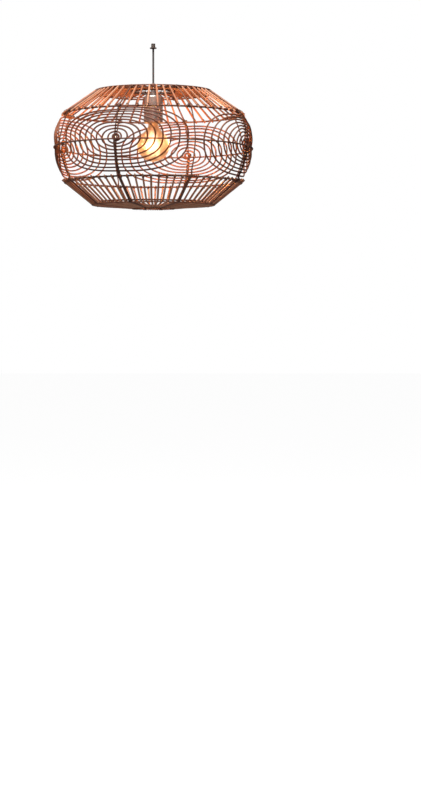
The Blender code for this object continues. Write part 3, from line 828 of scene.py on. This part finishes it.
def lashRib(number, settings):
    # a bead of peel wherever a coil passes under the rib
    azimuth = eyeAzimuth(number)
    bm = bmesh.new()
    around = sideways(azimuth)
    for crossing in range(int(2 * eye["turns"]) + 1):
        upper = crossing % 2 == 1
        size = crossing / 2 / eye["turns"]
        flat = eyePoint(size, math.pi / 2 if upper else -math.pi / 2)
        reach = eye["rise"] if upper else eye["drop"]
        height = equatorHoop.y + eye["lift"] + flat.y + equatorSag(azimuth) * (1 - (flat.y / reach) ** 2)
        hump = ribLook["overEquator"] * math.exp(-((height - equatorHoop.y) / ribLook["humpLength"]) ** 2)
        radius, level = bandPoint(height, (ribLook["onBand"] + hump) / 2)
        out = outward(azimuth, math.atan2(level - bandHeart.y, radius - bandHeart.x))
        look = {**settings, "halfDepth": settings["halfDepth"] + hump / 2}
        centre = place(radius, azimuth, level)
        if not upper:
            centre -= around * ribLook["thin"]
            look["halfSpan"] *= settings["twoRibs"]
        addLashing(bm, centre, out, around.cross(out), look, random.random())
    return finishKnots(f"ribKnots{number + 1}", bm)


for number in range(cage["eyes"]):
    lashRib(number, {**knot, "lean": 48.0, "halfSpan": 0.0029, "halfDepth": 0.0037, "twoRibs": 1.45})


def lashEquator(settings):
    # the equator hoop tied to every upright run of the coils
    bm = bmesh.new()
    for number in range(cage["eyes"]):
        azimuth = eyeAzimuth(number)
        for half in range(2, int(2 * eye["turns"]) + 1):
            size = (half / 2 - 0.25) / eye["turns"]
            share = eye["lift"] / spread(size, eye["heartDrop"], eye["drop"], eye["dropEarly"])
            # the hoop runs below the heart, so the coil crosses it a little past its widest
            past = math.asin(min(0.9, share) ** (1.0 + 0.5 * eye["square"] * size))
            flat = eyePoint(size, -past if half % 2 else math.pi + past)
            spot = azimuth + flat.x / bandRadius
            middle = place(bandRadius + cage["coilToHoop"] / 2, spot, equatorHoop.y + equatorSag(spot))
            addLashing(bm, middle, outward(spot), Vector((0, 0, 1)), settings, random.random())
    return finishKnots("equatorKnots", bm)


lashEquator({**knot, "halfDepth": 0.0033, "halfSpan": 0.0025, "width": 0.0014, "thickness": 0.0004})


def lashRibEnds(settings):
    # heavier lashings where a rib crosses each hoop
    bm = bmesh.new()
    spots = ((topHoop, math.pi / 2), (crownHoop, crownTilt), (shoulderHoop, upTilt),
             (lowShoulderHoop, downTilt), (baseHoop, baseTilt), (mouthHoop, -math.pi / 2))
    for number in range(cage["bays"]):
        azimuth = ribAzimuth(number)
        for centre, tilt in spots:
            out = outward(azimuth, tilt)
            along = sideways(azimuth).cross(out)
            scale = settings["small"] if centre in (topHoop, mouthHoop) else 1.0
            look = {**settings, "halfSpan": settings["halfSpan"] * scale}
            middle = place(centre.x, azimuth, centre.y) + out * settings["offset"]
            for shift in (-settings["apart"], settings["apart"]):
                addLashing(bm, middle + along * shift * scale, out, along, look, random.random())
    return finishKnots("ribEndKnots", bm)


lashRibEnds({**knot, "halfSpan": 0.0048, "halfDepth": 0.0046, "width": 0.0020, "lean": 50.0,
             "offset": 0.0019, "apart": 0.0011, "small": 0.7})
print("rib and coil lashings made")


def makeFitter(settings):
    # a pierced hub with three strip arms, each hooked round the top hoop
    bm = bmesh.new()
    bore, hub, top, foot = settings["bore"], settings["hub"], settings["top"], settings["foot"]
    turnedShape(bm, [(bore, top), (hub, top), (hub, foot), (bore, foot)], 48)
    path = [(0.0080, -0.01405), (0.0100, -0.01395), (0.0160, -0.0124), (0.0260, -0.0096),
            (0.0360, -0.0074), (0.0480, -0.0067), (0.0525, -0.0069), (0.0552, -0.0059),
            (0.0559, -0.0039), (0.0556, -0.0027)]
    for arm in range(settings["arms"]):
        azimuth = settings["firstArm"] + arm * 2 * math.pi / settings["arms"]
        points = [place(radius, azimuth, holderTop + height) for radius, height in path]
        addBand(bm, smoothLine(points, 3), sideways(azimuth), settings["armWidth"], settings["thick"], 0.5)
    bmesh.ops.recalc_face_normals(bm, faces=bm.faces)
    roundCorners(bm, 0.8, settings["rounding"])
    return finishPiece("fitter", bm, zincStrip, "shade", ["fitter_spider"])


makeFitter({"arms": 3, "firstArm": math.pi / 3, "hub": 0.0090, "bore": 0.0052, "top": -0.0133,
            "foot": -0.0148, "armWidth": 0.0046, "thick": 0.0015, "rounding": 0.00025})


def makeGrip():
    # turned tube with two fine grooves and a screwed collar at its foot
    outline = [(0.0029, 0.0077), (0.0059, 0.0077), (0.0065, 0.0071), (0.0065, 0.0052), (0.0062, 0.0049),
               (0.0065, 0.0046), (0.0065, -0.0088), (0.0061, -0.0092), (0.0065, -0.0096), (0.0065, -0.0125),
               (0.0062, -0.0130), (0.0052, -0.0130), (0.0052, -0.0040), (0.0029, -0.0040)]
    return turnedPiece("cordGrip", outline, greyTube, "shade", ["cord_grip"], rounding=0.00012)


def makeSleeve():
    outline = [(0.0, 0.0105), (0.0029, 0.0105), (0.0029, 0.0130), (0.0036, 0.0146), (0.0046, 0.0158),
               (0.0053, 0.0160), (0.0058, 0.0156), (0.0060, 0.0148), (0.0060, 0.0098), (0.0057, 0.0096),
               (0.0057, 0.0092), (0.0060, 0.0090), (0.0060, 0.0084), (0.0056, 0.0080), (0.0, 0.0080)]
    return turnedPiece("cordSleeve", outline, redSleeve, "sleeve", ["cord_sleeve"])


makeGrip()
makeSleeve()


def wallRows(radius, start, finish, rows):
    # a straight wall from one height to another, in enough rows to take a thread
    return [(radius, start + (finish - start) * step / rows) for step in range(rows + 1)]


def rollThread(bm, settings, low, high):
    # moves the turned skin in and out along a helix, between two heights
    for vert in bm.verts:
        height = vert.co.z - holderTop
        fade = fadeIn(height - low, settings["fade"]) * fadeIn(high - height, settings["fade"])
        turn = math.atan2(vert.co.x, -vert.co.y)
        swell = settings["depth"] * fade * math.cos(2 * math.pi * height / settings["pitch"] - turn)
        vert.co.xy *= 1 + swell / vert.co.to_2d().length


def makeThreadSleeve(settings):
    bm = bmesh.new()
    turnedShape(bm, wallRows(0.0143, -0.0504, -0.0750, 40) + wallRows(0.0139, -0.0750, -0.0504, 40))
    rollThread(bm, settings, -0.0742, -0.0530)
    return finishPiece("threadSleeve", bm, turnedBrass, "shade", ["thread_sleeve"])


def makeLampCap(settings):
    bm = bmesh.new()
    top = [(0.0060, -0.0586), (0.0060, -0.0578), (0.0095, -0.0578), (0.0118, -0.0590), (0.0128, -0.0605)]
    outer, inner = wallRows(0.01285, -0.0605, -0.0830, 36)[1:], wallRows(0.0125, -0.0830, -0.0610, 36)
    turnedShape(bm, top + outer + inner + [(0.0092, -0.0588)])
    rollThread(bm, settings, -0.0800, -0.0610)
    return finishPiece("lampCap", bm, greyTube, "bulb", ["bulb_cap"])


lampThread = {"pitch": 0.0036, "depth": 0.00030, "fade": 0.0012}
makeThreadSleeve(lampThread)
makeLampCap(lampThread)

turnedPiece("holderCup", [
    (0.00515, cupTop), (0.0205, cupTop), (0.0220, -0.0154), (0.0231, -0.0163), (0.0235, -0.0176),
    (0.0235, -0.0788), (0.0236, -0.0794), (0.0235, -0.0800), (0.0228, -0.0800), (0.0225, -0.0794),
    (0.0225, -0.0180), (0.0221, -0.0171), (0.0212, -0.0163), (0.0200, -0.0161), (0.00515, -0.0161)],
    platedCup, "shade", ["holder_cup"], segments=96)
turnedPiece("holderCap", [
    (0.00515, -0.0204), (0.0085, -0.0204), (0.0105, -0.0210), (0.0178, -0.0256), (0.0190, -0.0274),
    (0.0190, -0.0352), (0.0187, -0.0355), (0.0190, -0.0358), (0.0190, -0.0380), (0.0168, -0.0380),
    (0.0168, -0.0282), (0.0082, -0.0226), (0.00515, -0.0226)],
    darkMoulding, "shade", ["holder_cap"], rounding=0.00015)
turnedPiece("holderBody", [
    (0.0187, -0.0383), (0.0192, -0.0388), (0.0192, -0.0752), (0.0186, -0.0760), (0.0160, -0.0760),
    (0.0152, -0.0752), (0.0152, -0.0383)],
    darkMoulding, "shade", ["holder_body"], rounding=0.00015)
turnedPiece("contactBlock", [
    (0.0144, -0.0420), (0.0148, -0.0424), (0.0148, -0.0494), (0.0142, -0.0500), (0.0060, -0.0500),
    (0.0055, -0.0496), (0.0030, -0.0496), (0.0021, -0.0500), (0.0021, -0.0420)],
    glazedClay, "shade", ["contact_block"])
turnedPiece("centreContact", [
    (0.0, -0.0408), (0.0014, -0.0408), (0.0017, -0.0411), (0.0017, -0.0503), (0.0038, -0.0503),
    (0.0040, -0.0506), (0.0036, -0.0515), (0.0020, -0.0518), (0.0, -0.0518)],
    turnedBrass, "shade", ["centre_contact"], segments=32)
turnedPiece("lampInsulator", [
    (0.0, -0.0545), (0.0050, -0.0545), (0.0062, -0.0550), (0.0088, -0.0569), (0.0092, -0.0575),
    (0.0, -0.0575)],
    darkMoulding, "bulb", ["bulb_insulator"], segments=48)
turnedPiece("lampContact", [
    (0.0, -0.0521), (0.0018, -0.0521), (0.0034, -0.0525), (0.0044, -0.0534), (0.0045, -0.0542),
    (0.0, -0.0542)],
    turnedBrass, "bulb", ["bulb_contact"], segments=32)


def makeStem(settings):
    bm = bmesh.new()
    outer, inner = wallRows(0.0048, -0.0048, -0.0236, 60), wallRows(0.0031, -0.0236, -0.0048, 60)
    turnedShape(bm, [(0.0044, -0.0044)] + outer + [(0.0044, -0.0240), (0.0031, -0.0240)] + inner
                + [(0.0031, -0.0044)], 32)
    for vert in bm.verts:
        radius = vert.co.to_2d().length
        if radius > settings["threadFrom"]:
            turn = math.atan2(vert.co.x, -vert.co.y)
            wave = 0.5 + 0.5 * math.cos(2 * math.pi * vert.co.z / settings["pitch"] - turn)
            vert.co.xy *= 1 - settings["depth"] * wave / radius
    return finishPiece("threadedStem", bm, turnedBrass, "shade", ["threaded_stem"])


def makeNut(settings):
    # turned with chamfered rims, then pressed to six flats
    bm = bmesh.new()
    bore, corner, rim = settings["bore"], settings["corner"], settings["corner"] * settings["rim"]
    top, foot, chamfer = settings["top"], settings["foot"], settings["chamfer"]
    turnedShape(bm, [(bore, top), (rim, top), (corner, top - chamfer), (corner, foot + chamfer), (rim, foot),
                     (bore, foot)], 24)
    for vert in bm.verts:
        if vert.co.to_2d().length > (bore + rim) / 2:
            turn = math.atan2(vert.co.x, -vert.co.y) % (math.pi / 3)
            vert.co.xy *= math.cos(math.pi / 6) / math.cos(turn - math.pi / 6)
    return finishPiece("stemNut", bm, turnedBrass, "shade", ["stem_nut"], smooth=25.0)


makeStem({"pitch": 0.0010, "depth": 0.0004, "threadFrom": 0.0046})
makeNut({"bore": 0.00515, "corner": 0.0080, "rim": 0.92, "chamfer": 0.0004, "top": -0.0164,
         "foot": -0.0200})


def makeWires(settings):
    bm = bmesh.new()
    sheath = [Vector((0, 0, holderTop + height)) for _, height in wallRows(0, *settings["sheath"], 16)]
    addStrand(bm, sheath, settings["sheathRadius"], 0.5, sides=16)
    finishPiece("innerFlex", bm, cordSheath, "shade", ["inner_flex"])
    for number, side in enumerate((-1, 1)):
        bm = bmesh.new()
        bends = [(0.0012, -0.0264), (0.0014, -0.0290), (0.0040, -0.0340), (0.0070, -0.0380),
                 (0.0078, -0.0416)]
        line = smoothLine([Vector((side * x, 0, holderTop + z)) for x, z in bends], 5)
        addStrand(bm, line, settings["wireRadius"], 0.5, sides=12)
        finishPiece(f"conductor{number + 1}", bm, cordSheath, "shade", [f"conductor_{number + 1}"])


makeWires({"sheath": (0.0074, -0.0260), "sheathRadius": 0.0023, "wireRadius": 0.0008})
print("lampholder made")


globe = {"radius": 0.0400, "centre": -0.1365, "wall": 0.0008, "rows": 30, "neckAngle": 33}


def globeSide(offset):
    # (radius, height) down the neck and round the ball to its foot on the axis
    neck = [(0.0122, -0.0742), (0.0122, -0.0790), (0.0122, -0.0840), (0.0127, -0.0880), (0.0141, -0.0925),
            (0.0168, -0.0970), (0.0203, -0.1010)]
    points = smoothLine([Vector((radius - offset, height)) for radius, height in neck], 3)
    for step in range(1, globe["rows"] + 1):
        angle = math.radians(globe["neckAngle"] + (180 - globe["neckAngle"]) * step / globe["rows"])
        ball = globe["radius"] - offset
        points.append(Vector((ball * math.sin(angle), globe["centre"] + ball * math.cos(angle))))
    points[-1].x = 0.0
    return points


def makeGlobe():
    outline = globeSide(0.0) + globeSide(globe["wall"])[::-1]
    return turnedPiece("lampGlobe", outline, amberGlass, "bulb", ["bulb_glass"])


def makeLampStem():
    outline = [(0.0, -0.0770), (0.0104, -0.0770), (0.0108, -0.0776), (0.0092, -0.0800), (0.0066, -0.0828),
               (0.0046, -0.0858), (0.0031, -0.0890), (0.0023, -0.0925), (0.0022, -0.1000), (0.0022, -0.1180),
               (0.0024, -0.1205), (0.0026, -0.1225), (0.0021, -0.1238), (0.0, -0.1240)]
    return turnedPiece("lampStem", outline, clearGlass, "bulb", ["bulb_stem"], segments=40)


def makeFilament(settings):
    # nine long runs hung between a small crown of hooks and a wider one
    bm = bmesh.new()
    high, low = Vector(settings["high"]), Vector(settings["low"])
    runs, steps = settings["runs"], settings["steps"]
    points = []
    for run in range(runs):
        azimuth = 2 * math.pi * run / (runs + 1)
        start, finish = (high, low) if run % 2 else (low, high)
        for step in range(steps + 1):
            spot = start.lerp(finish, step / steps)
            points.append(place(spot.x, azimuth, holderTop + spot.y))
        if run < runs - 1:
            hook = -settings["hook"] if run % 2 else settings["hook"]
            halfway = azimuth + math.pi / (runs + 1)
            points.append(place(finish.x * 0.99, halfway, holderTop + finish.y + hook))
    addStrand(bm, points, settings["wire"], 0.5, sides=6)
    return finishPiece("filament", bm, glowingWire, "bulb", ["filament"])


makeGlobe()
makeLampStem()
makeFilament({"runs": 9, "steps": 8, "high": (0.0080, -0.1130), "low": (0.0150, -0.1650), "hook": 0.0012,
              "wire": 0.00045})
print("lamp made")


def makeFloor(settings):
    mesh = bpy.data.meshes.new("floor")
    bm = bmesh.new()
    bmesh.ops.create_grid(bm, x_segments=1, y_segments=1, size=settings["half"])
    bmesh.ops.translate(bm, verts=bm.verts, vec=(0, 0, settings["height"]))
    bm.to_mesh(mesh)
    bm.free()
    floor = bpy.data.objects.new("floor", mesh)
    bpy.context.scene.collection.objects.link(floor)
    made, tree, shader = newMaterial("paleFloor")
    shader.inputs["Base Color"].default_value = (*settings["colour"], 1.0)
    shader.inputs["Roughness"].default_value = 0.9
    shader.inputs["Emission Color"].default_value = (1.0, 1.0, 1.0, 1.0)
    path = tree.nodes.new("ShaderNodeLightPath")
    tree.links.new(mathNode(tree, "MULTIPLY", path.outputs["Is Camera Ray"], settings["lift"]),
                   shader.inputs["Emission Strength"])
    # the floor can't be seen from below
    under = tree.nodes.new("ShaderNodeNewGeometry")
    letThrough(tree, shader, under.outputs["Backfacing"])
    mesh.materials.append(made)


def makeWorld(settings):
    world = bpy.data.worlds.new("studio")
    world.use_nodes = True
    tree = world.node_tree
    back = tree.nodes["Background"]
    back.inputs["Color"].default_value = (*settings["colour"], 1.0)
    path = tree.nodes.new("ShaderNodeLightPath")
    seen = mathNode(tree, "MAXIMUM", path.outputs["Is Camera Ray"], path.outputs["Is Transmission Ray"])
    tree.links.new(rangeNode(tree, seen, 0.0, 1.0, settings["ambient"], settings["seen"]),
                   back.inputs["Strength"])
    bpy.context.scene.world = world


def addArea(name, settings):
    light = bpy.data.lights.new(name, "AREA")
    light.shape = "RECTANGLE"
    light.size, light.size_y = settings["size"]
    light.energy = settings["power"]
    light.color = settings["colour"]
    lamp = bpy.data.objects.new(name, light)
    lamp.location = settings["at"]
    aim = Vector(settings["aim"]) - Vector(settings["at"])
    lamp.rotation_euler = aim.to_track_quat("-Z", "Y").to_euler()
    bpy.context.scene.collection.objects.link(lamp)


def addGlow(settings):
    # the lamp throws most of its light sideways, on the coiled band
    spot = (0, 0, holderTop + globe["centre"] + settings["aboveCentre"])
    for number in range(cage["eyes"] + 1):
        aimed = number < cage["eyes"]
        light = bpy.data.lights.new(f"lampGlow{number + 1}", "SPOT" if aimed else "POINT")
        light.energy = settings["sideways"] if aimed else settings["allRound"]
        light.color = settings["colour"]
        light.shadow_soft_size = settings["size"]
        if aimed:
            light.spot_size = math.radians(settings["spread"])
            light.spot_blend = 1.0
        lamp = bpy.data.objects.new(light.name, light)
        lamp.location = spot
        lamp.rotation_euler = (math.pi / 2, 0, eyeAzimuth(number))
        bpy.context.scene.collection.objects.link(lamp)
        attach(lamp, "bulb")


makeFloor({"half": 30.0, "height": -1.75, "colour": (0.50, 0.50, 0.50), "lift": 0.95})
makeWorld({"colour": (1.0, 1.0, 1.0), "ambient": 0.05, "seen": 1.0})
addArea("softboxAbove", {"size": (1.6, 1.6), "power": 150.0, "colour": (1.0, 0.98, 0.96),
                         "at": (-0.3, -0.9, 2.2), "aim": (0, 0, -0.2)})
addArea("fillFront", {"size": (0.4, 1.8), "power": 4.0, "colour": (1.0, 1.0, 1.0),
                      "at": (0.3, -3.7, 0.15), "aim": (0, 0, -0.25)})
addGlow({"sideways": 8.0, "allRound": 1.0, "spread": 96.0, "colour": (1.0, 0.68, 0.42), "size": 0.014,
         "aboveCentre": 0.008})
bpy.context.scene.view_settings.view_transform = "Standard"
bpy.context.scene.view_settings.look = "None"
print("room lit")
